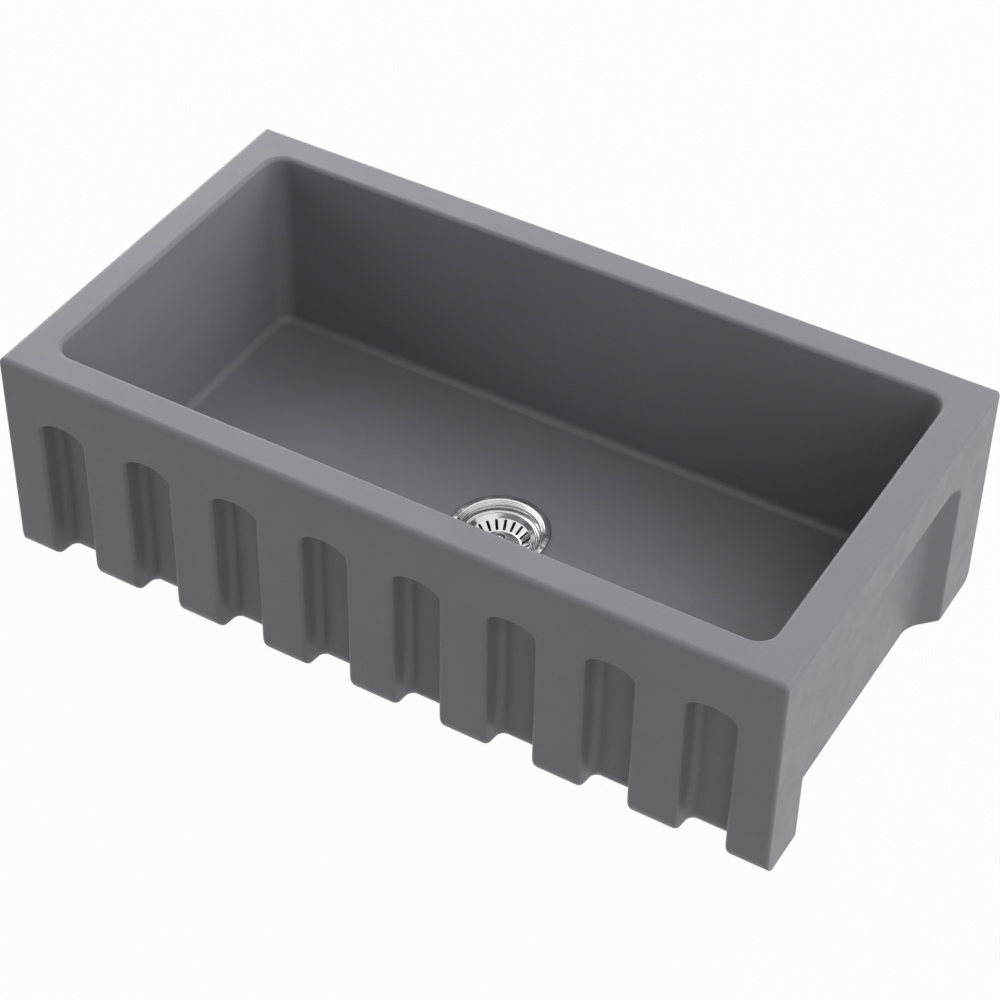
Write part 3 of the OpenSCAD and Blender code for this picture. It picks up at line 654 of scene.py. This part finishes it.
FIRECLAY_COLOR, CLAY_COLOR = (0.212, 0.217, 0.238), (0.5, 0.43, 0.34)
GLAZE_SPECULAR, GLAZE_ROUGHNESS, GLAZE_SMOOTHEST, GLAZE_ROUGHEST, CLAY_ROUGHNESS = 0.3, 0.42, 0.38, 0.46, 0.86
# How fine each noise is, in cells to a metre
CLOUD_SCALE, GRAIN_SCALE, SPECK_SCALE, RIPPLE_SCALE, SHEEN_SCALE = 9, 900, 2400, 420, 40
CLAY_CLOUD_SCALE, CLAY_GRAIN_SCALE, PORE_SCALE, WIPE_SCALE = 60, 1500, 1200, 120
RIPPLE_DEPTH, PORE_DEPTH = 0.00004, 0.00025
# Height in metres that the glaze is wiped off to, and how far its edge wanders
WIPE_LOW, WIPE_HIGH, WIPE_WANDER = 0.0012, 0.0015, 0.0016


def fireclay():
    """Satin glaze, wiped off the flat base that the sink was fired on"""
    made, shader = new_material("satin_fireclay", FIRECLAY_COLOR, GLAZE_ROUGHNESS)
    shader.inputs["Specular IOR Level"].default_value = GLAZE_SPECULAR
    n = Nodes(made)
    cloud = n.spread(n.noise(CLOUD_SCALE, 4), 0.975, 1.025)
    grain = n.spread(n.noise(GRAIN_SCALE, 2), 0.98, 1.02)
    speck = n.spread(n.noise(SPECK_SCALE, 1), 0.86, 1.0, 0.26, 0.3)
    height = n.math("ADD", n.axis("Z"), n.math("MULTIPLY", n.noise(WIPE_SCALE, 4), WIPE_WANDER))
    glazed = n.spread(height, 0.0, 1.0, WIPE_LOW, WIPE_HIGH)
    clay_cloud = n.spread(n.noise(CLAY_CLOUD_SCALE, 5), 0.85, 1.12)
    clay_grain = n.spread(n.noise(CLAY_GRAIN_SCALE, 3), 0.88, 1.06)
    clay = n.shade(CLAY_COLOR, clay_cloud, clay_grain)
    n.link(n.mix(glazed, clay, n.shade(FIRECLAY_COLOR, cloud, grain, speck)), shader.inputs["Base Color"])
    sheen = n.spread(n.noise(SHEEN_SCALE, 3), GLAZE_SMOOTHEST, GLAZE_ROUGHEST)
    n.link(n.mix(glazed, CLAY_ROUGHNESS, sheen), shader.inputs["Roughness"])
    pores = n.math("MULTIPLY", n.noise(PORE_SCALE, 4), n.math("SUBTRACT", 1.0, glazed))
    ripple = n.bump(n.noise(RIPPLE_SCALE, 3), RIPPLE_DEPTH)
    n.link(n.bump(pores, PORE_DEPTH, ripple), shader.inputs["Normal"])
    return made


# Marks, waves and stains of the metals, and the mottling of rubber, fibre and nylon
MARK_SCALE, MARK_DEPTH, WAVE_SCALE, STAIN_SCALE = 600, 0.00001, 120, 60
SOFT_SCALE, SOFT_BUMP_SCALE, SOFT_DEPTH, SOFT_SHEEN_SCALE, SOFT_SHEEN = 350, 500, 0.00005, 80, 0.06


def metal(name, color, low, high, stretch=None, wave=0.0):
    """Metal whose finish varies between two roughnesses, with fine marks along it and a slight waviness"""
    made, shader = new_material(name, color, low, 1.0)
    n = Nodes(made)
    marks = n.noise(MARK_SCALE, 3, 0.6, stretch)
    n.link(n.spread(n.noise(STAIN_SCALE, 3), low, high), shader.inputs["Roughness"])
    n.link(n.shade(color, n.spread(marks, 0.94, 1.04)), shader.inputs["Base Color"])
    relief = n.bump(marks, MARK_DEPTH)
    if wave:
        relief = n.bump(n.noise(WAVE_SCALE, 1), wave, relief)
    n.link(relief, shader.inputs["Normal"])
    return made


def soft(name, color, roughness):
    """Rubber, fibre or nylon"""
    made, shader = new_material(name, color, roughness)
    n = Nodes(made)
    n.link(n.shade(color, n.spread(n.noise(SOFT_SCALE, 4), 0.85, 1.15)), shader.inputs["Base Color"])
    sheen = n.spread(n.noise(SOFT_SHEEN_SCALE, 2), roughness - SOFT_SHEEN, roughness + SOFT_SHEEN)
    n.link(sheen, shader.inputs["Roughness"])
    n.link(n.bump(n.noise(SOFT_BUMP_SCALE, 3), SOFT_DEPTH), shader.inputs["Normal"])
    return made


# The sink

basin = make_basin()
basin.data.materials.append(fireclay())
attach(basin, "sink")
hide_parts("basin")

# The material of each slot but the fireclay's
finishes = {
    "polished_steel": metal("polished_steel", (0.74, 0.75, 0.76), 0.1, 0.2, wave=0.0002),
    "plated_steel": metal("drawn_steel", (0.62, 0.63, 0.64), 0.26, 0.36, stretch=(1, 1, 0.1)),
    "brass": metal("machined_brass", (0.72, 0.56, 0.28), 0.24, 0.34, stretch=(1, 1, 12)),
    "rubber": soft("black_rubber", (0.018, 0.018, 0.019), 0.62),
    "fibre": soft("pressed_fibre", (0.17, 0.09, 0.05), 0.7),
    "nylon": soft("natural_nylon", (0.66, 0.66, 0.62), 0.45),
}
for piece, body, node, slot in [
    (make_cup(), "sink", "strainer_cup", "polished_steel"),
    (make_basket(), "basket", "basket_shell", "polished_steel"),
    (make_knob(), "stopper", "knob", "polished_steel"),
    (make_outlet(), "sink", "outlet_spud", "brass"),
]:
    piece.data.materials.append(finishes[slot])
    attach(piece, body)
    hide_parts(node)
for part in frame["record"]["subparts"]:
    if part["material_slot"] in finishes:
        for held in nodes[part["node"]].material_slots:
            held.material = finishes[part["material_slot"]]


# Stage

# The floor's width and drop in metres, the colour that it bounces and how white it looks
FLOOR_W, FLOOR_DROP, FLOOR_COLOR, FLOOR_GLOW = 16, 0.0005, (0.22, 0.22, 0.22, 1), 0.97
WHITE = (1, 1, 1, 1)
WORLD_STRENGTH = 0.02
LIGHT_DISTANCE = 3.0
# Name, azimuth and elevation in degrees, size in metres, power, and whether glaze and steel mirror it
LIGHTS = [
    ("right_front", 67, 38, 3.0, 15, False),
    ("right_back", 112, 38, 3.0, 44, False),
    ("right_high", 90, 62, 3.0, 17, False),
    ("back", 157, 38, 3.0, 50, False),
    ("back_left", 247, 38, 3.0, 36, True),
    ("low_back_left", 225, 12, 2.0, 31, True),
    ("low_left_front", 315, 12, 2.0, 22, False),
    ("low_right_front", 45, 12, 2.0, 19, False),
]
# Camera that the photograph's edges give, placed in metres from the middle of the sink's top
CAMERA_AZIMUTH, CAMERA_ELEVATION = math.radians(31.42), math.radians(41.29)
CAMERA_DISTANCE, CAMERA_ACROSS, CAMERA_ABOVE = 2.58466, -0.05087, -0.07512
CAMERA_LENS, CAMERA_SENSOR, CAMERA_SHIFT_X, CAMERA_SHIFT_Y = 97.98, 36, 0.0574, -0.0471
CAMERA_NEAR, CAMERA_FAR = 0.05, 50


def direction(azimuth, elevation):
    """Way out from the sink. Azimuth 0 is in front of the apron, a quarter turn at its right end."""
    level = math.cos(elevation)
    return Vector((math.sin(azimuth) * level, -math.cos(azimuth) * level, math.sin(elevation)))


def background_share(tree):
    """1 for rays that show the background, straight or mirrored, and 0 for light that bounces"""
    path = tree.nodes.new("ShaderNodeLightPath")
    share = path.outputs["Is Camera Ray"]
    for ray in ("Is Glossy Ray", "Is Transmission Ray"):
        either = tree.nodes.new("ShaderNodeMath")
        either.operation = "MAXIMUM"
        tree.links.new(share, either.inputs[0])
        tree.links.new(path.outputs[ray], either.inputs[1])
        share = either.outputs[0]
    return share


def make_floor():
    """Floor that looks white but bounces little light, and keeps the sink's shadow"""
    bpy.ops.mesh.primitive_plane_add(size=FLOOR_W, location=(0, 0, cad_box[0].z - FLOOR_DROP))
    floor = bpy.context.object
    floor.name = "studio_floor"
    made = bpy.data.materials.new("studio_floor")
    made.use_nodes = True
    tree = made.node_tree
    tree.nodes.clear()
    out = tree.nodes.new("ShaderNodeOutputMaterial")
    diffuse = tree.nodes.new("ShaderNodeBsdfDiffuse")
    diffuse.inputs["Color"].default_value = FLOOR_COLOR
    white = tree.nodes.new("ShaderNodeEmission")
    white.inputs["Strength"].default_value = 1.0
    share = tree.nodes.new("ShaderNodeMath")
    share.operation = "MULTIPLY"
    share.inputs[1].default_value = FLOOR_GLOW
    mix = tree.nodes.new("ShaderNodeMixShader")
    tree.links.new(background_share(tree), share.inputs[0])
    tree.links.new(share.outputs[0], mix.inputs["Fac"])
    tree.links.new(diffuse.outputs[0], mix.inputs[1])
    tree.links.new(white.outputs[0], mix.inputs[2])
    tree.links.new(mix.outputs[0], out.inputs["Surface"])
    floor.data.materials.append(made)


def make_world():
    """World that looks white but gives little light"""
    world = bpy.data.worlds.new("studio")
    world.use_nodes = True
    bpy.context.scene.world = world
    tree = world.node_tree
    tree.nodes.clear()
    out = tree.nodes.new("ShaderNodeOutputWorld")
    seen = tree.nodes.new("ShaderNodeBackground")
    seen.inputs["Color"].default_value = WHITE
    lit = tree.nodes.new("ShaderNodeBackground")
    lit.inputs["Color"].default_value = WHITE
    lit.inputs["Strength"].default_value = WORLD_STRENGTH
    mix = tree.nodes.new("ShaderNodeMixShader")
    tree.links.new(background_share(tree), mix.inputs["Fac"])
    tree.links.new(lit.outputs[0], mix.inputs[1])
    tree.links.new(seen.outputs[0], mix.inputs[2])
    tree.links.new(mix.outputs[0], out.inputs["Surface"])


def area_light(name, azimuth, elevation, size, power, mirrored):
    """Softbox that looks at the sink's middle, with the white room mirrored in its place or not"""
    way = direction(math.radians(azimuth), math.radians(elevation))
    data = bpy.data.lights.new(name, "AREA")
    data.shape = "SQUARE"
    data.size = size
    data.energy = power
    lamp = bpy.data.objects.new(name, data)
    lamp.location = Vector((0, 0, SINK_H * MM / 2)) + way * LIGHT_DISTANCE
    lamp.rotation_mode = "QUATERNION"
    lamp.rotation_quaternion = (-way).to_track_quat("-Z", "Y")
    lamp.visible_camera = False
    lamp.visible_glossy = mirrored
    bpy.context.scene.collection.objects.link(lamp)


def make_camera():
    """The photograph's view, solved from its edges"""
    back = direction(CAMERA_AZIMUTH, CAMERA_ELEVATION)
    right = (-back).cross(Vector((0, 0, 1))).normalized()
    up = right.cross(-back)
    camera = bpy.data.cameras.new("camera")
    camera.lens, camera.sensor_width = CAMERA_LENS, CAMERA_SENSOR
    camera.shift_x, camera.shift_y = CAMERA_SHIFT_X, CAMERA_SHIFT_Y
    camera.clip_start, camera.clip_end = CAMERA_NEAR, CAMERA_FAR
    made = bpy.data.objects.new("camera", camera)
    turn = Matrix((right, up, back)).transposed().to_4x4()
    top = Vector((0, 0, SINK_H * MM))
    place = top + back * CAMERA_DISTANCE + right * CAMERA_ACROSS + up * CAMERA_ABOVE
    made.matrix_world = Matrix.Translation(place) @ turn
    bpy.context.scene.collection.objects.link(made)
    bpy.context.scene.camera = made


make_floor()
make_world()
for light in LIGHTS:
    area_light(*light)
make_camera()
bpy.context.scene.view_settings.view_transform = "Standard"
